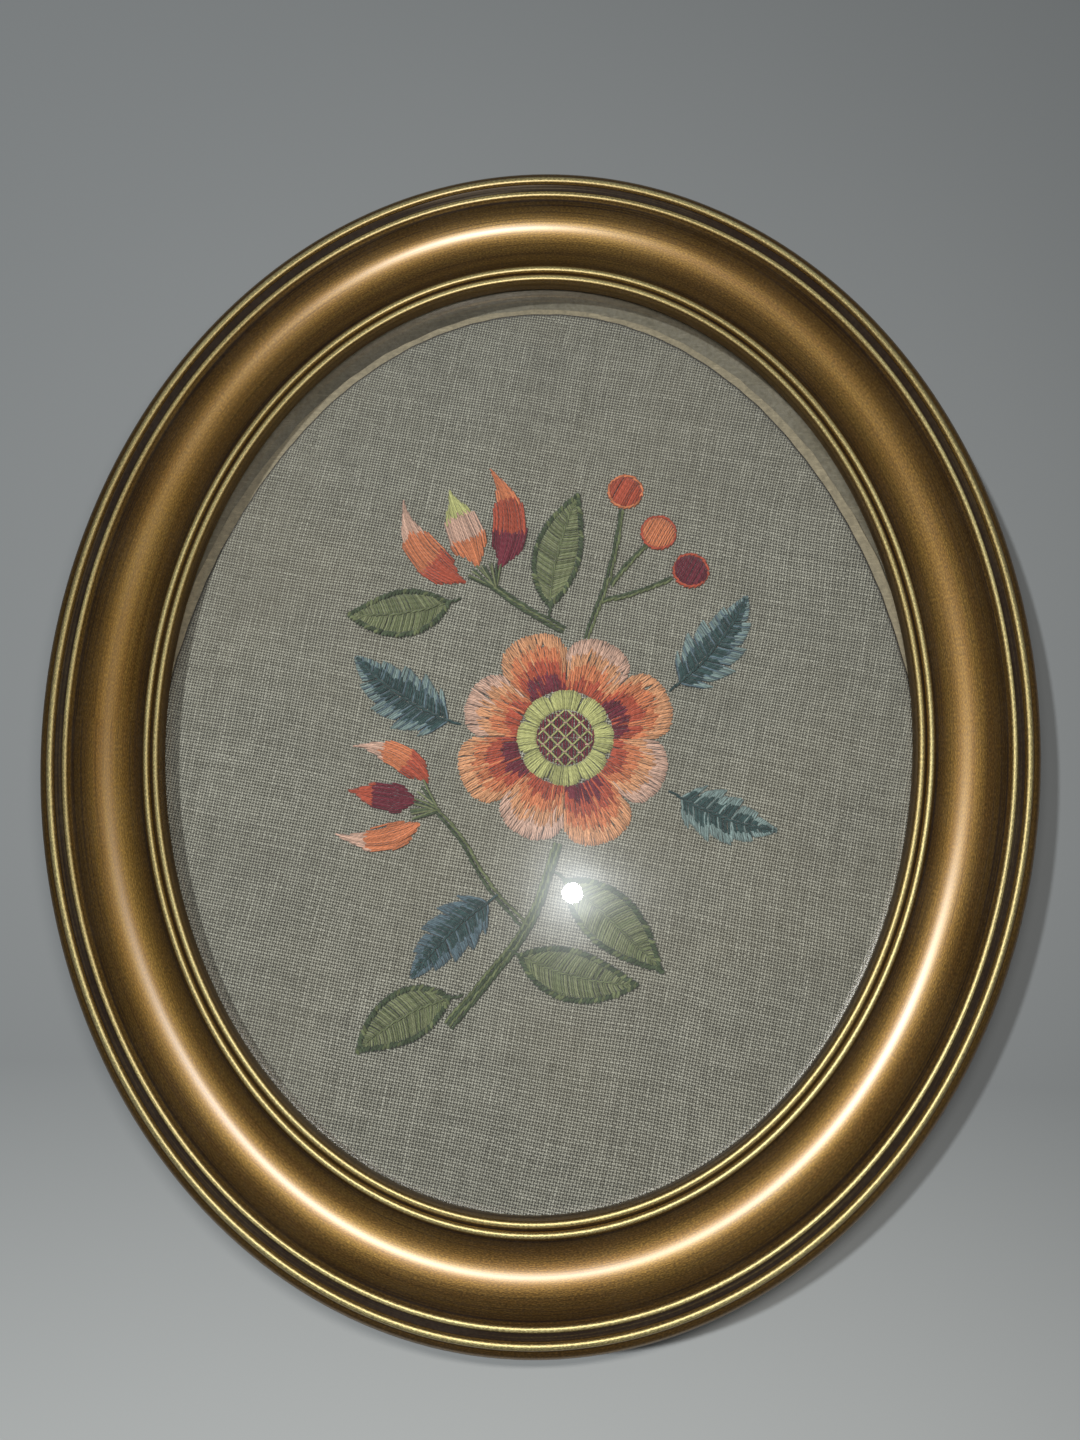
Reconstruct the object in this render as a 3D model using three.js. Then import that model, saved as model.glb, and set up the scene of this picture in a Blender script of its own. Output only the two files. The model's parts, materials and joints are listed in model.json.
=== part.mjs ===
// A crewel embroidery panel in its oval gilded frame, in millimetres, lying on its back with the picture's top to +Y.
// The moulding holds a pane, the linen on its mounting board, and a backing board. The wool is raised on the linen.
import * as THREE from 'three';

// Driving sizes of the frame
const sightWide = 192;
const sightTall = 241;
const mouldingWide = 27.4;
const mouldingThick = 24;
const rebateWide = 6.8;
const rebateDeep = 9.8;
const ovalSteps = 72;

// Driving sizes of what the rebate holds, from the back to the front
const fitGap = 0.3;
const backBoardUp = 0.6;
const backBoardThick = 1.5;
const mountBoardThick = 2.2;
const linenThick = 1;
const woolThick = 0.95;
const paneThick = 2;
const paneEase = 0.5;

const halfWide = sightWide / 2;
const ovalStretch = (sightTall - sightWide) / 2;
const rad = THREE.MathUtils.degToRad;

const linenUp = backBoardUp + backBoardThick + mountBoardThick + 2 * fitGap;
const woolUp = linenUp + linenThick + fitGap;
const paneUp = rebateDeep - fitGap - paneThick;

const finishes = {
  gilt: { color: 0xa87a32, roughness: 0.38, metalness: 0.85 },
  pane: { color: 0xdfe8e6, roughness: 0.04, metalness: 0, transparent: true, opacity: 0.25 },
  linen: { color: 0xa59c88, roughness: 0.95, metalness: 0 },
  tanBoard: { color: 0x9c8458, roughness: 0.95, metalness: 0 },
  greyBoard: { color: 0x6f6757, roughness: 0.95, metalness: 0 },
  coral: { color: 0xdb6a3e, roughness: 0.9, metalness: 0 },
  peach: { color: 0xe69a78, roughness: 0.9, metalness: 0 },
  brick: { color: 0xb8402c, roughness: 0.9, metalness: 0 },
  burgundy: { color: 0x84283a, roughness: 0.9, metalness: 0 },
  lime: { color: 0xc9c968, roughness: 0.9, metalness: 0 },
  olive: { color: 0x6f7748, roughness: 0.9, metalness: 0 },
  darkGreen: { color: 0x46543a, roughness: 0.9, metalness: 0 },
  teal: { color: 0x3c6a68, roughness: 0.9, metalness: 0 },
  paleTeal: { color: 0x7fa09a, roughness: 0.9, metalness: 0 },
  slate: { color: 0x667c88, roughness: 0.9, metalness: 0 },
};

const panel = new THREE.Group();

function addPiece(name, geometry, finish, up = 0) {
  const mesh = new THREE.Mesh(geometry, new THREE.MeshStandardMaterial(finishes[finish]));
  mesh.name = name;
  mesh.position.z = up;
  panel.add(mesh);
}

// The moulding's section: out is the distance from the sight edge, up the height over the back

const reedRadius = 0.95;
const reeds = {
  lip: { out: 1.2, crest: 14 },
  inner: { out: 3.35, crest: 14.75 },
  upper: { out: 20.8, crest: 22 },
  rim: { out: 23.5, crest: mouldingThick },
};
const scoop = { out: 8.03, up: 26.08, radius: 12.46, steep: 65, shallow: -16 };
const outerBand = { up: 19.7, radius: 2.6 };
const backChamfer = 1;

function arcPoints(centreOut, centreUp, radius, start, end, steps) {
  const points = [];
  for (let step = 0; step <= steps; step += 1) {
    const angle = rad(start + ((end - start) * step) / steps);
    points.push(new THREE.Vector2(centreOut + radius * Math.cos(angle), centreUp + radius * Math.sin(angle)));
  }
  return points;
}

function reedPoints({ out, crest }, start, end, steps) {
  return arcPoints(out, crest - reedRadius, reedRadius, start, end, steps);
}

function mouldingSection() {
  const bandOut = mouldingWide - outerBand.radius;
  const { out, up, radius, steep, shallow } = scoop;
  return [
    new THREE.Vector2(mouldingWide - backChamfer, 0),
    new THREE.Vector2(mouldingWide, backChamfer),
    ...arcPoints(bandOut, outerBand.up, outerBand.radius, 0, 90, 3),
    ...reedPoints(reeds.rim, -20, 200, 5),
    ...reedPoints(reeds.upper, 50, 170, 3),
    ...arcPoints(out, up, radius, steep - 90, shallow - 90, 8),
    ...reedPoints(reeds.inner, -10, 190, 4),
    ...reedPoints(reeds.lip, 15, 180, 4),
    new THREE.Vector2(0, reeds.lip.crest - 2 * reedRadius),
    new THREE.Vector2(0, rebateDeep),
    new THREE.Vector2(rebateWide, rebateDeep),
    new THREE.Vector2(rebateWide, 0),
    new THREE.Vector2(mouldingWide - backChamfer, 0),
  ];
}

// A turned ring, drawn out along Y by the same amount at every width, so that each line of it stays an oval
function addMoulding() {
  const section = mouldingSection().map((point) => new THREE.Vector2(halfWide + point.x, point.y));
  const ring = new THREE.LatheGeometry(section, ovalSteps);
  ring.rotateX(Math.PI / 2);
  const points = ring.attributes.position;
  for (let i = 0; i < points.count; i += 1) {
    const x = points.getX(i);
    const y = points.getY(i);
    points.setY(i, y * (1 + ovalStretch / Math.hypot(x, y)));
  }
  addPiece('moulding', ring, 'gilt');
}

// Flat ovals behind the lip

function ovalPoint(out, angle) {
  const across = halfWide + out;
  return new THREE.Vector2(across * Math.cos(angle), (across + ovalStretch) * Math.sin(angle));
}

// The mounting board and its linen were cut by hand and have slid down in the rebate: their upper edge is an oval
// about a point under the middle, and lower down they follow the rebate.
const boardCut = { across: 104.2, along: 144.2, middle: -27.5 };
const linenCut = { across: 101.2, along: 145.6, middle: -30.3 };
const boardEase = 1;
const linenEase = 3;

function cutPoint(cut, ease, angle) {
  const rebatePoint = ovalPoint(rebateWide - ease, angle);
  const reach = rebatePoint.length();
  const way = rebatePoint.clone().divideScalar(reach);
  const a = (way.x / cut.across) ** 2 + (way.y / cut.along) ** 2;
  const b = (-2 * way.y * cut.middle) / cut.along ** 2;
  const c = (cut.middle / cut.along) ** 2 - 1;
  const cutReach = (-b + Math.sqrt(b * b - 4 * a * c)) / (2 * a);
  return way.multiplyScalar(Math.min(reach, cutReach));
}

function addFlat(name, edgePoint, thick, up, finish) {
  const edge = [];
  for (let step = 0; step < ovalSteps; step += 1) {
    edge.push(edgePoint((2 * Math.PI * step) / ovalSteps));
  }
  const flat = new THREE.ExtrudeGeometry(new THREE.Shape(edge), { depth: thick, bevelEnabled: false });
  addPiece(name, flat, finish, up);
}

function addLayers() {
  const mountBoardUp = backBoardUp + backBoardThick + fitGap;
  addFlat('pane', (angle) => ovalPoint(rebateWide - paneEase, angle), paneThick, paneUp, 'pane');
  addFlat('linen', (angle) => cutPoint(linenCut, linenEase, angle), linenThick, linenUp, 'linen');
  addFlat('mounting_board', (angle) => cutPoint(boardCut, boardEase, angle), mountBoardThick, mountBoardUp, 'tanBoard');
  addFlat('backing_board', (angle) => ovalPoint(rebateWide - fitGap, angle), backBoardThick, backBoardUp, 'greyBoard');
}

// Raised wool: each motif is a low pad with rounded edges

function addPad(name, edge, finish) {
  const round = woolThick / 3;
  const pad = new THREE.ExtrudeGeometry(new THREE.Shape(edge), {
    depth: woolThick - 2 * round,
    bevelThickness: round,
    bevelSize: round,
    bevelOffset: -round,
    bevelSegments: 1,
  });
  addPiece(name, pad, finish, woolUp + round);
}

// Half the width of a leaf or petal at a share of its length, as a share of its half width
const halfShapes = {
  leaf: (share) => Math.sin(Math.PI * share ** 0.85) ** 0.85,
  lance: (share) => Math.sin(Math.PI * share ** 0.75),
};

function spinePoint(length, bend, share) {
  const turn = rad(bend) * share;
  const straight = Math.abs(turn) < 1e-6;
  const along = straight ? length * share : (length * share * Math.sin(turn)) / turn;
  const aside = straight ? 0 : (length * share * (1 - Math.cos(turn))) / turn;
  return { at: new THREE.Vector2(along, aside), turn };
}

function bladeEdge({ x, y, heading, length, width, bend }, shares, halfAt) {
  const right = [];
  const left = [];
  for (const share of shares) {
    const { at, turn } = spinePoint(length, bend, share);
    const half = (halfAt(share) * width) / 2;
    const aside = new THREE.Vector2(-Math.sin(turn), Math.cos(turn)).multiplyScalar(half);
    right.push(at.clone().sub(aside));
    left.unshift(at.clone().add(aside));
  }
  const edge = [...right, ...left.slice(1, -1)];
  const centre = new THREE.Vector2();
  return edge.map((point) => point.rotateAround(centre, rad(heading)).add(new THREE.Vector2(x, y)));
}

// Shares of a length that lie closer together towards both ends
function endShares(steps) {
  return Array.from({ length: steps + 1 }, (_, step) => {
    const even = step / steps;
    return (even + (1 - Math.cos(Math.PI * even)) / 2) / 2;
  });
}

// Leaves, and the petals of the cup flower and the bud
const bladeSteps = 10;
const blades = [
  { name: 'leaf_right', shape: 'leaf', finish: 'olive', x: 8.6, y: -41.5, heading: 322, length: 33, width: 14.5, bend: -8 },
  { name: 'leaf_foot', shape: 'leaf', finish: 'olive', x: -19.6, y: -71.2, heading: 196, length: 27, width: 13.5, bend: 30 },
  { name: 'leaf_low', shape: 'leaf', finish: 'olive', x: -2.6, y: -60.3, heading: 335, length: 31, width: 13.5, bend: 25 },
  { name: 'leaf_left', shape: 'leaf', finish: 'olive', x: -23.5, y: 31, heading: 200, length: 28, width: 13.5, bend: -25 },
  { name: 'leaf_top', shape: 'leaf', finish: 'olive', x: 3.2, y: 30, heading: 88, length: 33, width: 13.5, bend: -22 },
  { name: 'cup_middle', shape: 'leaf', finish: 'peach', x: -15.7, y: 40.2, heading: 112, length: 25, width: 11, bend: 0 },
  { name: 'cup_left', shape: 'lance', finish: 'coral', x: -18.5, y: 36.3, heading: 162, length: 33, width: 10.5, bend: -70 },
  { name: 'cup_right', shape: 'lance', finish: 'brick', x: -11.1, y: 39.4, heading: 62, length: 33, width: 10.5, bend: 70 },
  { name: 'bud_middle', shape: 'leaf', finish: 'burgundy', x: -28.8, y: -22.4, heading: 172, length: 20, width: 8.5, bend: 0 },
  { name: 'bud_left', shape: 'lance', finish: 'peach', x: -28.1, y: -27, heading: 220, length: 25, width: 8, bend: -62 },
  { name: 'bud_right', shape: 'lance', finish: 'coral', x: -26.6, y: -18.2, heading: 124, length: 25, width: 8, bend: 62 },
];

function addBlades() {
  for (const blade of blades) {
    addPad(blade.name, bladeEdge(blade, endShares(bladeSteps), halfShapes[blade.shape]), blade.finish);
  }
}

// Feathered leaves, whose teeth point to the tip
const toothCount = 5;
const toothCut = 0.26;
const fronds = [
  { name: 'frond_left', finish: 'teal', x: -22.6, y: -1, heading: 160, length: 31, width: 18, bend: -28 },
  { name: 'frond_right', finish: 'teal', x: 37.5, y: 10, heading: 40, length: 30, width: 17, bend: 26 },
  { name: 'frond_low', finish: 'paleTeal', x: 37.8, y: -20, heading: 330, length: 26, width: 15, bend: 24 },
  { name: 'frond_stem', finish: 'slate', x: -11, y: -47.6, heading: 216, length: 27, width: 15, bend: 20 },
];

function frondHalf(share) {
  const rise = (share * toothCount) % 1;
  return Math.sin(Math.PI * share ** 0.72) ** 0.8 * (1 - toothCut + toothCut * rise);
}

function toothShares() {
  const shares = [0];
  for (let tooth = 0; tooth < toothCount; tooth += 1) {
    shares.push((tooth + 0.04) / toothCount, (tooth + 0.5) / toothCount, (tooth + 0.93) / toothCount);
  }
  return [...shares, 1];
}

function addFronds() {
  for (const frond of fronds) {
    addPad(frond.name, bladeEdge(frond, toothShares(), frondHalf), frond.finish);
  }
}

// The open flower: eight petals round a ring of small ones and a netted middle
const flower = { x: 8, y: -5, count: 8, middleRadius: 7.5 };
const petalRing = { inside: 12.6, outside: 29.5, inset: 1.3, roundFrom: 0.55, gap: 0.5, roundSteps: 6 };
const sepalRing = { inside: 8.2, outside: 12.2, inset: 0, roundFrom: 0.3, gap: 0.5, roundSteps: 4 };

function wedgeEdge(ring, outside, turn) {
  const spread = Math.PI / flower.count;
  const halfAt = (share) => {
    const radius = ring.inside + (outside - ring.inside) * share;
    const round = Math.max(0, (share - ring.roundFrom) / (1 - ring.roundFrom));
    return (radius * Math.tan(spread) - ring.gap / 2 / Math.cos(spread)) * Math.sqrt(1 - round ** 2.6);
  };
  const shares = [0];
  for (let step = 0; step <= ring.roundSteps; step += 1) {
    shares.push(ring.roundFrom + (1 - ring.roundFrom) * Math.sin((Math.PI / 2) * (step / ring.roundSteps)));
  }
  const radii = shares.map((share) => ring.inside + (outside - ring.inside) * share);
  const right = shares.map((share, i) => new THREE.Vector2(radii[i], -halfAt(share)));
  const left = shares.map((share, i) => new THREE.Vector2(radii[i], halfAt(share))).reverse();
  const centre = new THREE.Vector2();
  const place = new THREE.Vector2(flower.x, flower.y);
  return [...right, ...left.slice(1)].map((point) => point.rotateAround(centre, turn).add(place));
}

function discEdge(x, y, radius, steps) {
  return Array.from({ length: steps }, (_, step) => {
    const angle = (2 * Math.PI * step) / steps;
    return new THREE.Vector2(x + radius * Math.cos(angle), y + radius * Math.sin(angle));
  });
}

function addFlower() {
  const spread = (2 * Math.PI) / flower.count;
  for (let i = 0; i < flower.count; i += 1) {
    const odd = i % 2 === 1;
    const outside = petalRing.outside - (odd ? petalRing.inset : 0);
    addPad(`petal_${i + 1}`, wedgeEdge(petalRing, outside, (i + 0.5) * spread), odd ? 'peach' : 'coral');
    addPad(`sepal_${i + 1}`, wedgeEdge(sepalRing, sepalRing.outside, i * spread), 'lime');
  }
  addPad('flower_middle', discEdge(flower.x, flower.y, flower.middleRadius, 24), 'burgundy');
}

// Berries on their twigs
const berryRadius = 5;
const berries = [
  { name: 'berry_high', finish: 'brick', x: 23, y: 62.5 },
  { name: 'berry_middle', finish: 'coral', x: 32, y: 51 },
  { name: 'berry_low', finish: 'burgundy', x: 40.5, y: 40.5 },
];

function addBerries() {
  for (const { name, finish, x, y } of berries) {
    addPad(name, discEdge(x, y, berryRadius, 16), finish);
  }
}

// Stems and twigs: a band along a smooth line, its width falling from foot to tip
const stems = [
  { name: 'stem_low', finish: 'darkGreen', foot: 3, tip: 2.4, steps: 10, line: [[-20, -78], [-10, -66], [0, -52], [5.5, -36]] },
  { name: 'stem_high', finish: 'darkGreen', foot: 2.4, tip: 2, steps: 5, line: [[3, 26], [-4, 30], [-11.5, 35.2]] },
  { name: 'twig_high', finish: 'olive', foot: 1.8, tip: 1.4, steps: 8, line: [[14.5, 26], [18, 36], [20.5, 46], [22, 56.6]] },
  { name: 'twig_middle', finish: 'olive', foot: 1.4, tip: 1.4, steps: 4, line: [[20.8, 38.1], [24.5, 43], [28.2, 46.8]] },
  { name: 'twig_low', finish: 'olive', foot: 1.4, tip: 1.4, steps: 5, line: [[19.2, 32.4], [27, 34.6], [34.9, 38]] },
  { name: 'twig_bud', finish: 'olive', foot: 2, tip: 1.6, steps: 8, line: [[-2.4, -52], [-11, -43], [-18, -32], [-25, -24.2]] },
];

function bandEdge({ foot, tip, steps, line }) {
  const curve = new THREE.SplineCurve(line.map(([x, y]) => new THREE.Vector2(x, y)));
  const right = [];
  const left = [];
  for (let step = 0; step <= steps; step += 1) {
    const share = step / steps;
    const at = curve.getPointAt(share);
    const way = curve.getTangentAt(share);
    const half = (foot + (tip - foot) * share) / 2;
    const aside = new THREE.Vector2(-way.y, way.x).multiplyScalar(half);
    right.push(at.clone().sub(aside));
    left.unshift(at.clone().add(aside));
  }
  return [...right, ...left];
}

function addStems() {
  for (const stem of stems) {
    addPad(stem.name, bandEdge(stem), stem.finish);
  }
}

addMoulding();
addLayers();
addFlower();
addBlades();
addFronds();
addBerries();
addStems();

export default panel;
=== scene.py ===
# Looks for the crewel panel: gilded oval moulding, glass, linen on its board and the stitched wool.
import json
import math

import bpy
import numpy as np
from mathutils import Euler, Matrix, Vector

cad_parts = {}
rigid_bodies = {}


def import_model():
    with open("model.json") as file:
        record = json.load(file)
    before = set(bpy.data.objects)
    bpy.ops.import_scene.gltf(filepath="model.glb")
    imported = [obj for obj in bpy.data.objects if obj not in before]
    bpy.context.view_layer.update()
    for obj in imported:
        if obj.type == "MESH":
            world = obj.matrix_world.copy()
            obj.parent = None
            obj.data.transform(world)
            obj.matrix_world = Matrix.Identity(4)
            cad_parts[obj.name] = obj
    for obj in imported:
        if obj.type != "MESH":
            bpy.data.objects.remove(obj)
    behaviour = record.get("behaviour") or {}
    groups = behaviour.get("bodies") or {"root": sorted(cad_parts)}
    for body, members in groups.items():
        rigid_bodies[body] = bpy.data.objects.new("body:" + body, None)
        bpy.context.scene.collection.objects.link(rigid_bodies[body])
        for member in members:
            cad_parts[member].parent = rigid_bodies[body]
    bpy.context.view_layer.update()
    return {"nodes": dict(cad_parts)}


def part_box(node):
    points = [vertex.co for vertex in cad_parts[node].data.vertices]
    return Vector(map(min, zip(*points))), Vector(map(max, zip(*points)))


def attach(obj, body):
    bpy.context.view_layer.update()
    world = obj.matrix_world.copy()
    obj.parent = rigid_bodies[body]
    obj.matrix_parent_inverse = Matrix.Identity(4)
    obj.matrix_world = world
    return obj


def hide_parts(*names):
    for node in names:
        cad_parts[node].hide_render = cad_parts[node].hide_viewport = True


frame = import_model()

mm = 0.001
bpy.ops.object.select_all(action="DESELECT")
print("frame loaded:", len(frame["nodes"]), "nodes")


# Small helpers, all in millimetres until a mesh is made

def topOf(node):
    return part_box(node)[1].z / mm


def bottomOf(node):
    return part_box(node)[0].z / mm


def turned(x, y, degrees):
    c, s = math.cos(math.radians(degrees)), math.sin(math.radians(degrees))
    return x * c - y * s, x * s + y * c


def meshFrom(name, points, faces):
    mesh = bpy.data.meshes.new(name)
    mesh.from_pydata((np.asarray(points, float) * mm).tolist(), [], faces)
    mesh.polygons.foreach_set("use_smooth", [True] * len(mesh.polygons))
    piece = bpy.data.objects.new(name, mesh)
    bpy.context.scene.collection.objects.link(piece)
    return piece


def choose(piece):
    bpy.ops.object.select_all(action="DESELECT")
    piece.select_set(True)
    bpy.context.view_layer.objects.active = piece


def editPiece(piece):
    choose(piece)
    bpy.ops.object.mode_set(mode="EDIT")
    bpy.ops.mesh.select_all(action="SELECT")


def closePiece(piece):
    bpy.ops.mesh.select_all(action="SELECT")
    bpy.ops.mesh.remove_doubles(threshold=1e-6)
    bpy.ops.mesh.normals_make_consistent(inside=False)
    bpy.ops.object.mode_set(mode="OBJECT")
    piece.select_set(False)


def addValues(piece, name, values):
    attribute = piece.data.attributes.new(name, "FLOAT", "POINT")
    attribute.data.foreach_set("value", np.asarray(values, np.float32))


def belongs(piece, node):
    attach(piece, "root")
    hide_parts(node)


# Material helpers

def newMaterial(name):
    material = bpy.data.materials.new(name)
    material.use_nodes = True
    return material, material.node_tree.nodes["Principled BSDF"]


def newNode(near, kind):
    # the node goes into the tree of the socket or node that is named first
    return near.id_data.nodes.new("ShaderNode" + kind)


def isSocket(value):
    return isinstance(value, bpy.types.NodeSocket)


def feed(node, values):
    # every input takes a link, a number, a vector or a colour
    for label, value in values.items():
        socket = node.inputs[label]
        if isSocket(value):
            node.id_data.links.new(value, socket)
        else:
            socket.default_value = (*value[:3], 1) if socket.type == "RGBA" else value
    return node


def newGroup(name, inputs, outputs):
    group = bpy.data.node_groups.new(name, "ShaderNodeTree")
    kinds = {"value": "NodeSocketFloat", "colour": "NodeSocketColor", "vector": "NodeSocketVector"}
    for label, kind, default in inputs:
        socket = group.interface.new_socket(name=label, in_out="INPUT", socket_type=kinds[kind])
        if default is not None:
            socket.default_value = default
    for label, kind in outputs:
        group.interface.new_socket(name=label, in_out="OUTPUT", socket_type=kinds[kind])
    return group, group.nodes.new("NodeGroupInput").outputs, group.nodes.new("NodeGroupOutput")


def maths(operation, *values):
    node = newNode(next(filter(isSocket, values)), "Math")
    node.operation = operation
    return feed(node, dict(enumerate(values))).outputs[0]


def times(*values):
    return maths("MULTIPLY", *values)


def plus(*values):
    return maths("ADD", *values)


def highest(*values):
    return maths("MAXIMUM", *values)


def blendColour(share, a, b, mode="MIX"):
    node = newNode(next(filter(isSocket, (share, a, b))), "Mix")
    node.data_type = "RGBA"
    node.blend_type = mode
    return feed(node, {0: share, 6: a, 7: b}).outputs[2]


def scaled(colour, by):
    return tuple(min(1, c * by) for c in colour)


def shadedBy(colour, value):
    grey = feed(newNode(value, "CombineColor"), {0: value, 1: value, 2: value})
    return blendColour(1.0, colour, grey.outputs[0], "MULTIPLY")


def remap(value, low, high, toLow=0.0, toHigh=1.0):
    inputs = {"Value": value, "From Min": low, "From Max": high, "To Min": toLow, "To Max": toHigh}
    return feed(newNode(value, "MapRange"), inputs).outputs["Result"]


def noise(vector, scale, detail=3.0, roughness=0.5):
    inputs = {"Vector": vector, "Scale": scale, "Detail": detail, "Roughness": roughness}
    return feed(newNode(vector, "TexNoise"), inputs).outputs["Fac"]


def stretchedBy(vector, scale):
    return feed(newNode(vector, "Mapping"), {"Vector": vector, "Scale": scale}).outputs["Vector"]


def partsOf(vector):
    return feed(newNode(vector, "SeparateXYZ"), {0: vector}).outputs


def vectorOf(x, y):
    return feed(newNode(x, "CombineXYZ"), {0: x, 1: y}).outputs[0]


def spotOf(near):
    return newNode(near, "TexCoord").outputs["Object"]


def uvOf(near, name):
    node = newNode(near, "UVMap")
    node.uv_map = name
    return node.outputs["UV"]


def valueOf(near, name):
    node = newNode(near, "Attribute")
    node.attribute_name = name
    return node.outputs["Fac"]


def bumpOf(height, distance, strength=1.0, normal=None):
    inputs = {"Height": height, "Distance": distance, "Strength": strength}
    if normal:
        inputs["Normal"] = normal
    return feed(newNode(height, "Bump"), inputs).outputs["Normal"]


def useGroup(near, group, **values):
    node = newNode(near, "Group")
    node.node_tree = group
    return feed(node, values)


def dressSolid(name, material):
    materials = frame["nodes"][name].data.materials
    materials.clear()
    materials.append(material)


# Dust: a pale film, thickest where a coarse and a fine noise meet

def makeDustFilm():
    inputs = [("Vector", "vector", None), ("Colour", "colour", (0.5, 0.5, 0.5, 1)), ("Amount", "value", 0.2)]
    group, start, end = newGroup("dustFilm", inputs, [("Colour", "colour"), ("Mask", "value")])
    both = times(noise(start["Vector"], 60), noise(start["Vector"], 900))
    amount = times(remap(both, 0.16, 0.40), start["Amount"])
    feed(end, {"Colour": blendColour(amount, start["Colour"], (0.34, 0.31, 0.25)), "Mask": amount})
    return group


dustFilm = makeDustFilm()


# The gilded moulding: a section spun into a ring, then drawn out along the oval

moulding = {
    "wide": 27.4, "rebateWide": 6.8, "rebateDeep": 9.8, "chamfer": 1.0, "around": 240,
    "reedRadius": 0.95,
    "reeds": {"lip": (1.2, 14.0), "inner": (3.35, 14.75), "upper": (20.8, 22.0), "rim": (23.5, 24.0)},
    "scoop": {"out": 8.03, "up": 26.08, "radius": 12.46, "steep": 65, "shallow": -16},
    "bandUp": 19.7, "bandRadius": 2.6,
    "gold": (0.35, 0.205, 0.042), "paleGoldAndHighlight": (0.95, 0.84, 0.41), "redGold": (0.25, 0.122, 0.025),
    "glazeAndShade": (0.030, 0.016, 0.008), "wood": (0.23, 0.15, 0.085), "shadedScoopEnds": (4.6, 19.4),
    "grooves": [(24.6, 22.5), (22.5, 22.6), (21.5, 21.85), (19.6, 20.7), (4.45, 13.9), (2.3, 13.5)],
}

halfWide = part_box("moulding")[1].x / mm - moulding["wide"]
ovalStretch = (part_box("moulding")[1].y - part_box("moulding")[1].x) / mm


def arcPoints(out, up, radius, start, end, steps, kind):
    angles = [math.radians(start + (end - start) * step / steps) for step in range(steps + 1)]
    return [(out + radius * math.cos(a), up + radius * math.sin(a), kind) for a in angles]


def mouldingSection():
    m = moulding
    r = m["reedRadius"]
    scoop = m["scoop"]

    def reed(name, start, end):
        out, crest = m["reeds"][name]
        return arcPoints(out, crest - r, r, start, end, 11, "reed")

    section = [(m["wide"] - m["chamfer"], 0, "bare"), (m["wide"], m["chamfer"], "side")]
    section += [(m["wide"], up, "side") for up in (6, 12, 17)]
    section += arcPoints(m["wide"] - m["bandRadius"], m["bandUp"], m["bandRadius"], 0, 90, 9, "band")
    section += reed("rim", -20, 200) + reed("upper", 50, 170)
    start, end = scoop["steep"] - 90, scoop["shallow"] - 90
    section += arcPoints(scoop["out"], scoop["up"], scoop["radius"], start, end, 30, "scoop")
    section += reed("inner", -10, 190) + reed("lip", 15, 180)
    lipUp = m["reeds"]["lip"][1] - 2 * r
    section += [(0, lipUp, "lip"), (0, (lipUp + m["rebateDeep"]) / 2, "lip"), (0, m["rebateDeep"], "lip")]
    section += [(m["rebateWide"], m["rebateDeep"], "bare"), (m["rebateWide"], 0, "bare")]
    return section


def sectionGlazeAndShade(section, outs, ups):
    # the brown glaze lies in the grooves and on the lip; lower down the outer band the mask grows darker,
    # and at both ends of the scoop it is painted shade, where the hollow's slopes face away from the light
    m = moulding

    def nearTo(spots, start, reach):
        values = [start - np.hypot(outs - out, ups - up) / reach for out, up in spots]
        return np.clip(np.max(values, axis=0), 0, 1)

    glazeAndShade = nearTo(m["grooves"], 1.2, 0.5)
    # the reed crests are rubbed, and their pale, less metallic gold is also a painted highlight along each
    # crest
    rubAndHighlight = nearTo(m["reeds"].values(), 1.1, 0.85)
    for i, (out, up, kind) in enumerate(section):
        if kind == "lip":
            glazeAndShade[i] = 0.62
        if kind == "band":
            glazeAndShade[i] = max(glazeAndShade[i], min(0.85, 0.3 + max(0, 21.6 - up) * 0.4))
        if kind == "side":
            glazeAndShade[i] = 0.45
        # painted shade: both ends of the scoop are darkened
        if kind == "scoop":
            low, high = m["shadedScoopEnds"]
            glazeAndShade[i] = max(glazeAndShade[i], 0.84 * (1 - min(out - low, high - out) / 4.5))
    bare = np.array([1.0 if p[2] == "bare" else 0.0 for p in section])
    return glazeAndShade, rubAndHighlight, bare


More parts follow.
